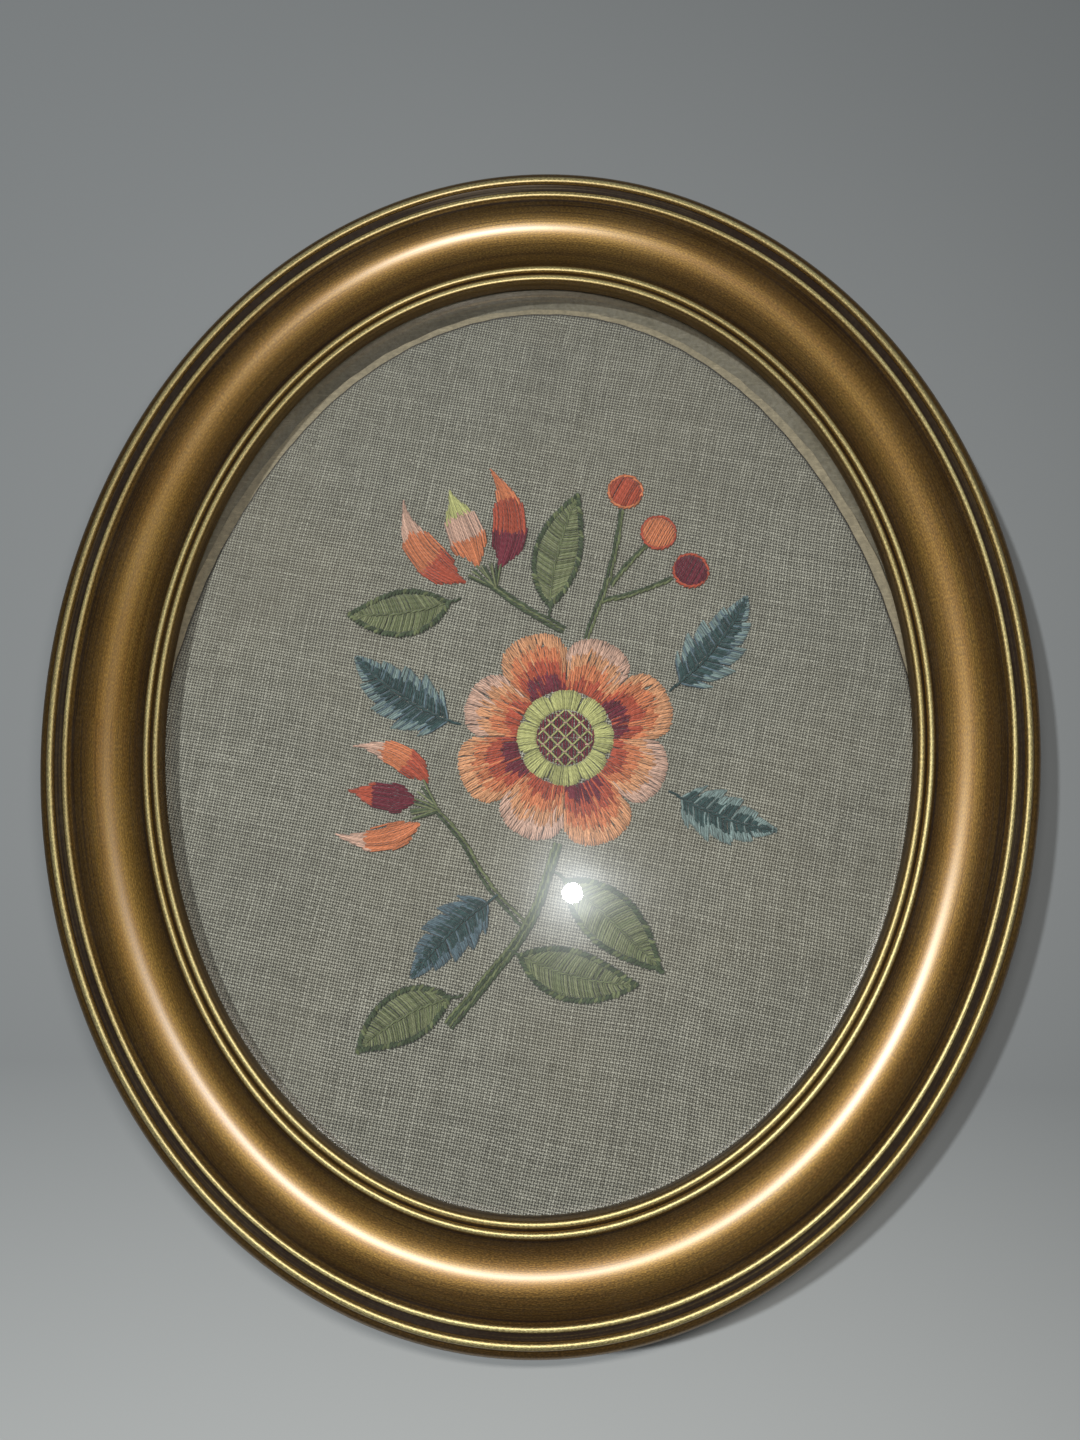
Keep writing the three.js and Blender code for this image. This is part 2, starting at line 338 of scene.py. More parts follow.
def makeMoulding():
    section = mouldingSection()
    bpy.ops.mesh.primitive_circle_add(vertices=len(section), radius=moulding["wide"] * mm)
    ring = bpy.context.object
    ring.name = ring.data.name = "gilded_moulding"
    for vertex, (out, up, _) in zip(ring.data.vertices, section):
        vertex.co = ((halfWide + out) * mm, 0, up * mm)
    editPiece(ring)
    bpy.ops.mesh.spin(steps=moulding["around"], angle=2 * math.pi, center=(0, 0, 0), axis=(0, 0, 1))
    closePiece(ring)

    count = len(ring.data.vertices)
    co = np.zeros(count * 3)
    ring.data.vertices.foreach_get("co", co)
    co = co.reshape(-1, 3)
    angle = np.arctan2(co[:, 1], co[:, 0])
    radius = np.hypot(co[:, 0], co[:, 1])
    outs = np.array([p[0] for p in section])
    ups = np.array([p[1] for p in section])
    gap = (radius[:, None] / mm - halfWide - outs) ** 2 + (co[:, 2][:, None] / mm - ups) ** 2
    nearest = gap.argmin(1)
    co[:, 1] *= 1 + ovalStretch * mm / radius
    ring.data.vertices.foreach_set("co", co.ravel())
    glazeAndShade, rubAndHighlight, bare = sectionGlazeAndShade(section, outs, ups)
    addValues(ring, "glazeAndShade", glazeAndShade[nearest])
    addValues(ring, "rubAndHighlight", rubAndHighlight[nearest])
    addValues(ring, "bare", bare[nearest])
    # painted shade on the two long sides, the left one most: they are darkened, made rougher and given less
    # coat, so their highlights come out dimmer
    sideways = np.cos(angle)
    addValues(ring, "dimmedSides", np.where(sideways < 0, 1.0, 0.4) * np.abs(sideways) ** 3)

    # UV in metres: along the ring, then across the section
    across = np.concatenate([[0], np.cumsum(np.hypot(np.diff(outs), np.diff(ups)))])
    loopVertex = np.zeros(len(ring.data.loops), int)
    ring.data.loops.foreach_get("vertex_index", loopVertex)
    starts = np.zeros(len(ring.data.polygons), int)
    ring.data.polygons.foreach_get("loop_start", starts)
    corners = starts[:, None] + np.arange(4)
    turn = angle[loopVertex[corners]]
    turn = np.where(turn.max(1, keepdims=True) - turn > math.pi, turn + 2 * math.pi, turn)
    along = np.zeros(len(loopVertex))
    along[corners.ravel()] = turn.ravel() * (halfWide + ovalStretch / 2) * mm
    uv = np.stack([along, across[nearest[loopVertex]] * mm], 1)
    ring.data.uv_layers.new(name="alongRing").data.foreach_set("uv", uv.ravel())
    ring.data.polygons.foreach_set("use_smooth", [True] * len(ring.data.polygons))
    choose(ring)
    bpy.ops.object.shade_smooth_by_angle(angle=math.radians(50))
    ring.select_set(False)
    ring.data.materials.append(makeGilt())
    belongs(ring, "moulding")


def makeGilt():
    m = moulding
    material, shader = newMaterial("antiqueGilt")
    flat = uvOf(shader, "alongRing")
    spot = spotOf(shader)
    brush = noise(stretchedBy(flat, (14, 2200, 1)), 1.0, 2, 0.6)
    softBrush = noise(stretchedBy(flat, (9, 420, 1)), 1.0, 2, 0.55)
    cloud = noise(spot, 26, 2, 0.55)
    grain = noise(stretchedBy(flat, (1500, 4600, 1)), 1.0, 1, 0.7)
    dimmedSides = valueOf(shader, "dimmedSides")
    bare = remap(valueOf(shader, "bare"), 0.4, 0.6)
    rubAndHighlight = times(valueOf(shader, "rubAndHighlight"), remap(softBrush, 0.2, 0.6, 0.55, 1))
    glazeAndShade = remap(plus(valueOf(shader, "glazeAndShade"), remap(brush, 0.3, 0.7, -0.22, 0.22)), 0.15, 0.9)

    toned = blendColour(remap(cloud, 0.42, 0.75, 0, 0.4), m["gold"], m["redGold"])
    streaked = blendColour(remap(softBrush, 0.40, 0.62, 0, 0.5), toned, m["redGold"])
    lined = blendColour(remap(brush, 0.54, 0.74, 0, 0.5), streaked, m["glazeAndShade"])
    # rubbed gold on the crests, partly a painted highlight
    rubbedAndHighlit = blendColour(rubAndHighlight, lined, m["paleGoldAndHighlight"])
    # the dark colour is real glaze in the grooves and on the lip, and painted shade at the ends of the scoop
    glazedAndShaded = blendColour(glazeAndShade, rubbedAndHighlit, m["glazeAndShade"])
    woodGrain = noise(stretchedBy(spot, (60, 900, 60)), 1.0, 2, 0.6)
    wood = blendColour(woodGrain, m["wood"], scaled(m["wood"], 0.55))
    dressed = blendColour(bare, glazedAndShaded, wood)
    sparkle = times(remap(grain, 0.42, 0.70, 0.80, 1.75), remap(brush, 0.3, 0.7, 0.70, 1.20))
    # painted shade: the two long sides are darkened
    sparkle = times(sparkle, remap(dimmedSides, 0, 1, 1, 0.78))
    dust = useGroup(shader, dustFilm, Vector=spot, Colour=shadedBy(dressed, sparkle), Amount=0.05)

    dulled = plus(highest(bare, times(glazeAndShade, 0.75)), dust.outputs["Mask"])
    rough = remap(brush, 0.3, 0.7, 0.37, 0.45)
    for value, more in ((bare, 0.4), (glazeAndShade, 0.18), (dimmedSides, 0.12)):
        rough = plus(rough, remap(value, 0, 1, 0, more))
    rough = plus(rough, remap(grain, 0.4, 0.7, 0, 0.08))
    uncoated = highest(highest(rubAndHighlight, bare), times(glazeAndShade, 0.66))
    lines = bumpOf(brush, 0.000015, 0.6)
    pits = bumpOf(grain, 0.00003, 0.8, lines)
    feed(shader, {
        "Base Color": dust.outputs["Colour"],
        "Metallic": remap(highest(dulled, times(rubAndHighlight, 0.42)), 0, 1, 0.93, 0.05),
        "Roughness": rough, "Specular IOR Level": 0.3,
        "Coat Weight": times(remap(uncoated, 0, 0.6, 1.0, 0.0), remap(dimmedSides, 0, 1, 1, 0.35)),
        "Coat Roughness": 0.26, "Coat IOR": 1.66,
        "Normal": bumpOf(noise(spot, 160, 2), 0.00003, 0.5, pits),
    })
    return material


makeMoulding()
print("moulding done")


# The glass pane keeps its own solid

def dressPane():
    material, shader = newMaterial("pictureGlass")
    smear = noise(stretchedBy(spotOf(shader), (35, 60, 20)), 1.0, 2, 0.6)
    outer = maths("SUBTRACT", 1.0, newNode(shader, "NewGeometry").outputs["Backfacing"])
    feed(shader, {
        "Base Color": (0.97, 0.99, 0.98), "Transmission Weight": 1.0, "IOR": 1.48, "Roughness": 0.0,
        "Coat Weight": times(remap(smear, 0.35, 0.65, 0.5, 1.0), outer),
        "Coat Roughness": 0.20, "Coat IOR": 1.95,
    })
    # light goes straight through, so that the glass throws no shadow
    path = newNode(shader, "LightPath").outputs
    clear = newNode(shader, "BsdfTransparent").outputs[0]
    passes = highest(path["Is Shadow Ray"], path["Is Diffuse Ray"])
    mix = feed(newNode(shader, "MixShader"), {0: passes, 1: shader.outputs[0], 2: clear})
    feed(material.node_tree.nodes["Material Output"], {"Surface": mix.outputs[0]})
    dressSolid("pane", material)


dressPane()


# Linen, its tan board and the grey-brown board behind

layers = {
    "linenCut": {"across": 101.2, "along": 145.6, "middle": -30.3, "ease": 3.0},
    "boardCut": {"across": 103.9, "along": 144.7, "middle": -27.5, "ease": 1.0},
    "around": 360, "rings": 36,
    "threadPitch": 0.77, "threadTurn": 11,
    "flax": (0.313, 0.300, 0.239), "flaxPale": (0.575, 0.555, 0.463), "holeShade": (0.030, 0.027, 0.020),
    "stain": (0.30, 0.24, 0.15), "edgeShadow": (0.05, 0.038, 0.022),
    "tan": (0.39, 0.328, 0.217), "grey": (0.213, 0.188, 0.131),
}


def ovalReach(angle, out):
    # a point of the oval that lies a given way outside the sight edge
    across = halfWide + out
    return across * math.cos(angle), (across + ovalStretch) * math.sin(angle)


def cutEdge(cut, count, rough, seed):
    picks = np.random.default_rng(seed)
    waves = [(k, picks.uniform(0, 2 * math.pi), picks.uniform(0.3, 1)) for k in (7, 13, 23, 41, 67, 97)]
    edge = []
    for step in range(count):
        angle = 2 * math.pi * step / count
        x, y = ovalReach(angle, moulding["rebateWide"] - cut["ease"])
        reach = math.hypot(x, y)
        wx, wy = x / reach, y / reach
        a = (wx / cut["across"]) ** 2 + (wy / cut["along"]) ** 2
        b = -2 * wy * cut["middle"] / cut["along"] ** 2
        c = (cut["middle"] / cut["along"]) ** 2 - 1
        cutReach = (-b + math.sqrt(b * b - 4 * a * c)) / (2 * a)
        wobble = sum(size * math.sin(k * angle + phase) for k, phase, size in waves) / len(waves)
        far = min(reach, cutReach) + rough * wobble
        edge.append((wx * far, wy * far))
    return np.array(edge)


def makeSlab(name, edge, low, high, rings, wave=0.0, roundEdge=0.0):
    # a closed sheet: rings of points shrink towards the middle on both faces
    count = len(edge)
    points = [(0, 0, high)]
    for share in [ring / (rings - 1) for ring in range(1, rings - 1)] + [0.990]:
        points += [(x * share, y * share, high) for x, y in edge]
    points += [(x, y, high - roundEdge) for x, y in edge]
    points += [(x, y, low) for x, y in edge]
    points.append((0, 0, low))
    faces = [(0, 1 + i, 1 + (i + 1) % count) for i in range(count)]
    for ring in range(rings):
        base = 1 + ring * count
        for i in range(count):
            j = (i + 1) % count
            faces.append((base + i, base + count + i, base + count + j, base + j))
    last = 1 + rings * count
    faces += [(len(points) - 1, last + (i + 1) % count, last + i) for i in range(count)]
    points = np.array(points, float)
    top = points[:, 2] > (low + high) / 2
    points[top, 2] += wave * np.sin(points[top, 0] * 0.09 + 1) * np.sin(points[top, 1] * 0.07)
    return meshFrom(name, points, faces)


def makeLinen():
    m = layers
    edge = cutEdge(m["linenCut"], m["around"], 0.35, 5)
    cloth = makeSlab("linen_ground", edge, bottomOf("linen"), topOf("linen"), m["rings"], 0.05, 0.7)
    addValues(cloth, "cutEdge", np.arange(len(cloth.data.vertices)) > m["around"] * (m["rings"] - 1))
    cloth.data.materials.append(makeFlax())
    belongs(cloth, "linen")


def makeFlax():
    m = layers
    material, shader = newMaterial("plainLinen")
    spot = spotOf(shader)
    askew = feed(newNode(spot, "Mapping"), {
        "Vector": spot, "Rotation": (0, 0, math.radians(m["threadTurn"])),
    })
    # a slow noise pulls the threads out of true
    pulled = newNode(spot, "VectorMath")
    pulled.operation = "MULTIPLY_ADD"
    feed(pulled, {
        0: noise(spot, 14, 1).node.outputs["Color"], 1: (0.007, 0.007, 0), 2: askew.outputs["Vector"],
    })
    parts = partsOf(pulled.outputs[0])

    def threads(axis, other):
        count = maths("DIVIDE", parts[axis], m["threadPitch"] * mm)
        number = maths("FLOOR", count)
        pick = newNode(number, "TexWhiteNoise")
        pick.noise_dimensions = "1D"
        feed(pick, {"W": number})
        slub = noise(vectorOf(times(number, 7.31), times(parts[other], 130)), 1.0, 1)
        profile = maths("ABSOLUTE", maths("SINE", times(count, math.pi)))
        thick = maths("POWER", profile, remap(slub, 0.3, 0.7, 1.5, 0.7))
        return {"number": number, "pick": pick.outputs["Value"], "slub": slub, "profile": thick}

    warp, weft = threads("X", "Y"), threads("Y", "X")
    parity = maths("ABSOLUTE", maths("MODULO", plus(warp["number"], weft["number"]), 2))
    over = maths("GREATER_THAN", parity, 0.5)

    def either(key, below=weft, above=warp):
        return feed(newNode(over, "Mix"), {0: over, 2: below[key], 3: above[key]}).outputs[0]

    height = highest(either("profile"), times(either("profile", warp, weft), 0.55))
    tone = plus(times(either("pick"), 0.4), times(either("slub"), 0.6))
    thread = blendColour(remap(tone, 0.2, 0.9), m["flax"], m["flaxPale"])
    # painted shade: the gaps between the threads are near black
    shadedHoles = blendColour(remap(height, 0.35, 0.95), m["holeShade"], thread)
    aged = blendColour(remap(noise(spot, 11, 3), 0.45, 0.8, 0, 0.22), shadedHoles, m["stain"])
    fibre = noise(spot, 4200, 1)
    flecked = blendColour(remap(fibre, 0.45, 0.75, 0, 0.35), aged, m["flaxPale"])
    # painted shadow: a dark line along the cut edge of the linen
    edgeShadowed = blendColour(remap(valueOf(shader, "cutEdge"), 0.1, 0.8), flecked, m["edgeShadow"])
    feed(shader, {
        "Base Color": edgeShadowed, "Roughness": 0.92, "Sheen Weight": 0.15, "Specular IOR Level": 0.25,
        "Normal": bumpOf(fibre, 0.00005, 0.6, bumpOf(height, 0.00042, 1.0)),
    })
    return material


def makeCard(name, colour, dust):
    material, shader = newMaterial(name)
    spot = spotOf(shader)
    pulp = noise(spot, 700, 5, 0.7)
    fibre = noise(stretchedBy(spot, (260, 1700, 260)), 1.0, 3)
    base = blendColour(remap(pulp, 0.35, 0.7), scaled(colour, 0.62), colour)
    fibred = blendColour(remap(fibre, 0.55, 0.75, 0, 0.4), base, scaled(colour, 1.7))
    blotted = blendColour(remap(noise(spot, 40, 3), 0.4, 0.8, 0, 0.35), fibred, scaled(colour, 0.6))
    film = useGroup(shader, dustFilm, Vector=spot, Colour=blotted, Amount=dust)
    feed(shader, {
        "Base Color": film.outputs["Colour"], "Roughness": 0.93, "Normal": bumpOf(pulp, 0.00012, 0.7),
    })
    return material


def makeBoards():
    low, high = bottomOf("mounting_board"), topOf("mounting_board")
    edge = cutEdge(layers["boardCut"], 720, 0.55, 9)
    bpy.ops.mesh.primitive_circle_add(vertices=len(edge), radius=100 * mm, fill_type="NGON")
    board = bpy.context.object
    board.name = board.data.name = "tan_mount"
    for vertex, (x, y) in zip(board.data.vertices, edge):
        vertex.co = (x * mm, y * mm, low * mm)
    editPiece(board)
    bpy.ops.mesh.extrude_region_move(TRANSFORM_OT_translate={"value": (0, 0, (high - low) * mm)})
    bpy.ops.mesh.bevel(offset=0.18 * mm, segments=2)
    closePiece(board)
    board.data.materials.append(makeCard("tanCard", layers["tan"], 0.06))
    belongs(board, "mounting_board")
    dressSolid("backing_board", makeCard("greyCard", layers["grey"], 0.35))


makeLinen()
makeBoards()
print("linen and boards done")


# Crewel wool: every stitch is a short strand that rises out of the linen and goes back into it

wool = {
    "width": 0.68, "flatten": 0.86, "sides": 6, "rings": 6, "sink": 0.35,
    "tints": {
        "coral": (0.56, 0.185, 0.085), "apricot": (0.60, 0.290, 0.150), "peach": (0.56, 0.350, 0.265),
        "brick": (0.40, 0.080, 0.045), "burgundy": (0.150, 0.024, 0.038), "lime": (0.42, 0.42, 0.170),
        "olive": (0.135, 0.155, 0.075), "moss": (0.185, 0.200, 0.105), "darkGreen": (0.062, 0.082, 0.046),
        "teal": (0.036, 0.070, 0.070), "paleTeal": (0.190, 0.255, 0.245), "slate": (0.095, 0.140, 0.165),
    },
    "frost": (0.55, 0.50, 0.42),
}
linenTop = topOf("linen")
picks = np.random.default_rng(20)


def makeWoolFibre():
    inputs = [("Tint", "colour", (0.5, 0.5, 0.5, 1)), ("Strand", "value", 0.5)]
    outputs = [("Colour", "colour"), ("Normal", "vector"), ("Rough", "value")]
    group, start, end = newGroup("woolFibre", inputs, outputs)
    strand = start["Strand"]
    along, around = partsOf(uvOf(strand, "alongStrand"))[:2]
    # two plies wound round each other, one turn in about three millimetres
    windings = plus(times(along, 0.62), times(around, 2.0))
    ply = maths("ABSOLUTE", maths("SINE", times(windings, math.pi)))
    twist = vectorOf(plus(times(along, 1.1), times(strand, 50)), plus(times(around, 16), times(along, 5)))
    fibre = noise(twist, 1.0, 2, 0.65)
    shade = plus(remap(fibre, 0.3, 0.7, 0.78, 1.25), remap(strand, 0, 1, -0.27, 0.27))
    # painted light and shade round each strand: lighter on its crown, darker at its sides
    crownLight = maths("SINE", times(around, 2 * math.pi))
    litAndShaded = times(shade, remap(crownLight, 0.45, 0.98, 0.34, 1.24))
    # painted shade in the grooves between the two plies
    tinted = shadedBy(start["Tint"], times(litAndShaded, remap(ply, 0, 1, 0.80, 1.04)))
    feed(end, {
        "Colour": blendColour(remap(fibre, 0.58, 0.78, 0, 0.30), tinted, wool["frost"]),
        "Rough": remap(fibre, 0.3, 0.7, 0.95, 0.82),
        "Normal": bumpOf(fibre, 0.00010, 0.9, bumpOf(ply, 0.00012, 0.8)),
    })
    return group


woolFibre = makeWoolFibre()
woolMaterials = {}


def woolOf(tint):
    if tint not in woolMaterials:
        material, shader = newMaterial("wool" + tint[0].upper() + tint[1:])
        strand = valueOf(shader, "strand")
        tinted = useGroup(shader, woolFibre, Tint=wool["tints"][tint], Strand=strand).outputs
        feed(shader, {
            "Base Color": tinted["Colour"], "Roughness": tinted["Rough"], "Normal": tinted["Normal"],
            "Sheen Weight": 0.35, "Sheen Roughness": 0.45, "Specular IOR Level": 0.2,
        })
        woolMaterials[tint] = material
    return woolMaterials[tint]


def pathOf(line):
    # how long the line is, and its point and its direction at a distance along it
    line = np.asarray(line, float)
    gone = np.concatenate([[0], np.cumsum(np.hypot(*np.diff(line, axis=0).T))])

    def pointAt(at):
        return np.interp(at, gone, line[:, 0]), np.interp(at, gone, line[:, 1])

    def wayAt(at, reach):
        ahead = min(at + reach, gone[-1])
        (x0, y0), (x1, y1) = pointAt(ahead - 2 * reach), pointAt(ahead)
        return x1 - x0, y1 - y0

    return gone[-1], pointAt, wayAt


class Needle:
    # collects stitches as rows: from, to, lift over the linen, width, sideways bow and tint
    def __init__(self):
        self.rows = []
        self.tints = []

    def stitch(self, start, end, lift, tint, width=None, bow=0.0, jitter=0.12):
        shake = picks.normal(0, jitter, 4) if jitter else (0, 0, 0, 0)
        if tint not in self.tints:
            self.tints.append(tint)
        thick = (width or wool["width"]) * picks.uniform(0.92, 1.1)
        self.rows.append((
            start[0] + shake[0], start[1] + shake[1], end[0] + shake[2], end[1] + shake[3],
            lift * picks.uniform(0.88, 1.12), thick, bow + picks.normal(0, 0.10), self.tints.index(tint),
        ))

    def run(self, line, length, step, lift, tint, width):
        # stem stitch: short strands that lean over each other along a line
        total, pointAt, wayAt = pathOf(line)
        at = 0.0
        while at < total - 0.3 * length:
            ends = []
            for spot, lean in ((at, -0.22), (min(at + length, total), 0.22)):
                x, y = pointAt(spot)
                dx, dy = wayAt(spot, 0.2)
                long = math.hypot(dx, dy) or 1
                ends.append((x - dy / long * lean, y + dx / long * lean))
            self.stitch(*ends, lift, tint, width, 0.0, 0.05)
            at += step * picks.uniform(0.9, 1.1)

    def knots(self, line, step, lift, width, tints, reach=0.95):
        # a knotted line: short fat strands that lie slantwise over it
        total, pointAt, wayAt = pathOf(line)
        for at in np.arange(0.3, total - 0.2, step):
            sx, sy = turned(*wayAt(at, 0.3), 48 + picks.normal(0, 8))
            long = math.hypot(sx, sy) or 1
            sx, sy = sx / long * reach, sy / long * reach
            x, y = pointAt(at)
            tint = tints[int(picks.random() < 0.22)]
            self.stitch((x - sx, y - sy), (x + sx, y + sy), lift, tint, width, 0.0, 0.07)

    def finish(self, name):
        rows = np.array(self.rows)
        start, end, (lift, width, bow, tint) = rows[:, 0:2], rows[:, 2:4], rows[:, 4:].T
        sides, rings = wool["sides"], wool["rings"]
        way = end - start
        length = np.maximum(np.hypot(way[:, 0], way[:, 1]), 0.2)
        way = way / length[:, None]
        aside = np.stack([-way[:, 1], way[:, 0]], 1)
        share = (1 - np.cos(np.linspace(0, math.pi, rings + 1))) / 2
        rise = np.sin(np.linspace(0, math.pi, rings + 1)) ** 0.55
        turn = 2 * math.pi * np.arange(sides) / sides
        middle = start[:, None] + way[:, None] * (share * length[:, None])[:, :, None]
        middle = middle + aside[:, None] * (bow[:, None] * 4 * share * (1 - share))[:, :, None]
        half = width[:, None] / 2 * (0.72 + 0.28 * rise)
        tall = half * wool["flatten"]
        up = linenTop - wool["sink"] + (lift[:, None] + wool["sink"]) * rise - tall
        points = np.zeros((len(rows), rings + 1, sides, 3))
        across = (half[:, :, None] * np.cos(turn))[..., None]
        points[..., :2] = middle[:, :, None] + aside[:, None, None] * across
        points[..., 2] = up[:, :, None] + tall[:, :, None] * np.sin(turn)

        # corners as ring and side, where the last side meets the first again
        quads = [[(ring, side), (ring, side + 1), (ring + 1, side + 1), (ring + 1, side)]
                 for ring in range(rings) for side in range(sides)]
        caps = [[(0, side) for side in range(sides)][::-1], [(rings, side) for side in range(sides)]]
        pattern = quads + caps
        each = (rings + 1) * sides
        flat = [[ring * sides + side % sides for ring, side in face] for face in pattern]
        faces = [[i * each + corner for corner in face] for i in range(len(rows)) for face in flat]
        piece = meshFrom(name + "_wool", points.reshape(-1, 3), faces)
        piece.data.polygons.foreach_set("material_index", np.repeat(tint.astype(int), len(pattern)))
        for label in self.tints:
            piece.data.materials.append(woolOf(label))
        addValues(piece, "strand", np.repeat(picks.random(len(rows)), each))
        # UV: millimetres along the strand, then the share of a turn round it
        corner = np.array([corner for face in pattern for corner in face])
        along = (share * length[:, None])[:, corner[:, 0]]
        uv = np.stack([along, np.broadcast_to(corner[:, 1] / sides, along.shape)], -1)
        piece.data.uv_layers.new(name="alongStrand").data.foreach_set("uv", uv.reshape(-1))
        belongs(piece, name)


# Outlines, as in the solids

def bladeAt(x, y, heading, length, width, bend, slot="wool_olive", *wools, half=None):
    return {"x": x, "y": y, "heading": heading, "length": length, "width": width, "bend": bend,
            "slot": slot, "wools": wools, "half": half}


def offsetFrom(middle, x, y):
    return middle["x"] + x, middle["y"] + y


def spinePoint(blade, share, aside=0.0):
    turn = math.radians(blade["bend"]) * share
    length = blade["length"]
    if abs(turn) < 1e-6:
        x, y = length * share, 0.0
    else:
        x, y = length * share * math.sin(turn) / turn, length * share * (1 - math.cos(turn)) / turn
    x, y = turned(x - math.sin(turn) * aside, y + math.cos(turn) * aside, blade["heading"])
    return offsetFrom(blade, x, y)


def spineLine(blade, start, end, steps):
    return [spinePoint(blade, share) for share in np.linspace(start, end, steps)]


def leafHalf(share):
    return math.sin(math.pi * min(max(share, 0), 1) ** 0.85) ** 0.85 if 0 < share < 1 else 0.0


def lanceHalf(share):
    return math.sin(math.pi * share ** 0.75) if 0 < share < 1 else 0.0


def frondHalf(share):
    if not 0 < share < 1:
        return 0.0
    return math.sin(math.pi * share ** 0.72) ** 0.8 * (0.74 + 0.26 * ((share * 5) % 1))


# Leaves: slanted rows from a midrib, with a darker knotted edge

leaves = {
    "leaf_right": bladeAt(8.6, -41.5, 322, 33, 14.5, -8),
    "leaf_foot": bladeAt(-19.6, -71.2, 196, 27, 13.5, 30),
    "leaf_low": bladeAt(-2.6, -60.3, 335, 31, 13.5, 25),
    "leaf_left": bladeAt(-23.5, 31, 200, 28, 13.5, -25),
    "leaf_top": bladeAt(3.2, 30, 88, 33, 13.5, -22),
}
leafWork = {
    "spacing": 0.64, "stalk": 3.4, "slant": 0.10, "edgeInset": 0.85, "lift": 0.62, "bow": 0.25,
    # pad: drop and width; knots: step, lift, width, wools; runs: length, step, lift, wool, width
    "pad": (0.16, 1.5), "mossShare": 0.6, "edgeKnots": (0.95, 0.92, 1.2, ("darkGreen", "olive")),
    "ribRun": (2.8, 1.9, 0.66, "olive", 0.62), "stalkRun": (2.6, 1.5, 0.80, "darkGreen", 0.75),
}


def sewLeaf(name, blade):
    needle = Needle()
    work = leafWork
    drop, fat = work["pad"]
    half = blade["width"] / 2
    count = round(blade["length"] / work["spacing"])
    for i in range(count):
        share = 0.01 + 0.94 * i / (count - 1)
        for side in (-1, 1):
            far = min(share + work["slant"] * (1 - 0.55 * share), 0.985)
            reach = max(leafHalf(far) * half - 0.9, 0.35)
            ends = spinePoint(blade, share, -0.25 * side), spinePoint(blade, far, side * reach)
            if i % 2:
                needle.stitch(*ends, work["lift"] - drop, "olive", fat)
            tint = "moss" if picks.random() < work["mossShare"] else "olive"
            needle.stitch(*ends, work["lift"], tint, None, side * work["bow"], 0.07)
    shares = (1 - np.cos(np.linspace(0, math.pi, 40))) / 2
    for side in (-1, 1):
        edge = [spinePoint(blade, s, side * max(leafHalf(s) * half - work["edgeInset"], 0)) for s in shares]
        needle.knots(edge, *work["edgeKnots"])
    needle.run(spineLine(blade, 0.02, 0.90, 20), *work["ribRun"])
    needle.run(spineLine(blade, -work["stalk"] / blade["length"], 0.05, 8), *work["stalkRun"])
    needle.finish(name)


# Feathered leaves: two bands of long and short stitch, dark at the rib and pale at the teeth

fronds = {
    "frond_left": bladeAt(-22.6, -1, 160, 31, 18, -28, "wool_teal", "teal", "slate", "paleTeal"),
    "frond_right": bladeAt(37.5, 10, 40, 30, 17, 26, "wool_teal", "teal", "slate", "paleTeal"),
    "frond_low": bladeAt(37.8, -20, 330, 26, 15, 24, "wool_pale_teal", "teal", "paleTeal", "paleTeal"),
    "frond_stem": bladeAt(-11, -47.6, 216, 27, 15, 20, "wool_slate", "teal", "slate", "slate"),
}
frondWork = {
    "spacing": 0.58, "stalk": 3.6, "slant": 0.13, "innerShare": 0.62, "outerShare": 0.42, "ragged": 0.13,
    "lift": 0.62, "bow": 0.15, "ribRun": (3.2, 2.0, 0.86), "ribWidth": 0.7,
}


def sewFrond(name, blade):
    needle = Needle()
    work = frondWork
    half = blade["width"] / 2
    dark, middle, pale = blade["wools"]
    count = round(blade["length"] / work["spacing"])
    for side in (-1, 1):
        for i in range(count):
            share = 0.005 + 0.965 * i / (count - 1)
            far = min(share + work["slant"] * (1 - 0.6 * share), 0.99)
            reach = max(frondHalf(far) * half - 0.2, 0.3)

            def band(start, end, lift, tint, *more):
                ends = [spinePoint(blade, share + (far - share) * part, side * reach * part)
                        for part in (start, end)]
                needle.stitch(*ends, work["lift"] + lift, tint, *more)

            if i % 2:
                band(0.02, 0.9, -0.12, middle, 1.3)
            inner = work["innerShare"] + picks.uniform(-1, 1) * work["ragged"]
            outer = work["outerShare"] + picks.uniform(-1, 1) * work["ragged"]
            band(outer, 1.0, 0, pale if i % 4 else middle, None, side * work["bow"], 0.06)
            band(0.02, inner, 0.12, dark if i % 6 else middle, None, side * work["bow"], 0.06)
    rib = spineLine(blade, -work["stalk"] / blade["length"], 0.95, 20)
    needle.run(rib, *work["ribRun"], dark, work["ribWidth"])
    needle.finish(name)


# Cup flower and bud: long and short stitch that runs up each petal

cups = {
    "cup_left": bladeAt(-18.5, 36.3, 162, 33, 10.5, -70, "wool_coral", "brick", "coral", "peach"),
    "cup_right": bladeAt(-11.1, 39.4, 62, 33, 10.5, 70, "wool_brick", "burgundy", "brick", "coral"),
    "cup_middle": bladeAt(
        -15.7, 40.2, 112, 25, 11, 0, "wool_peach", "coral", "peach", "lime", half=leafHalf,
    ),
    "bud_left": bladeAt(-28.1, -27, 220, 25, 8, -62, "wool_peach", "coral", "coral", "peach"),
    "bud_right": bladeAt(-26.6, -18.2, 124, 25, 8, 62, "wool_coral", "brick", "coral", "peach"),
    "bud_middle": bladeAt(
        -28.8, -22.4, 172, 20, 8.5, 0, "wool_burgundy", "burgundy", "burgundy", "brick", half=leafHalf,
    ),
}
cupWork = {
    # rows: from and to along the petal, and how high over the row below
    "spacing": 0.62, "lift": 0.62, "pad": (0.14, 1.4), "ragged": 0.045,
    "rows": ((0.60, 1.0, 0.0), (0.30, 0.70, 0.08), (0.02, 0.40, 0.14)),
}


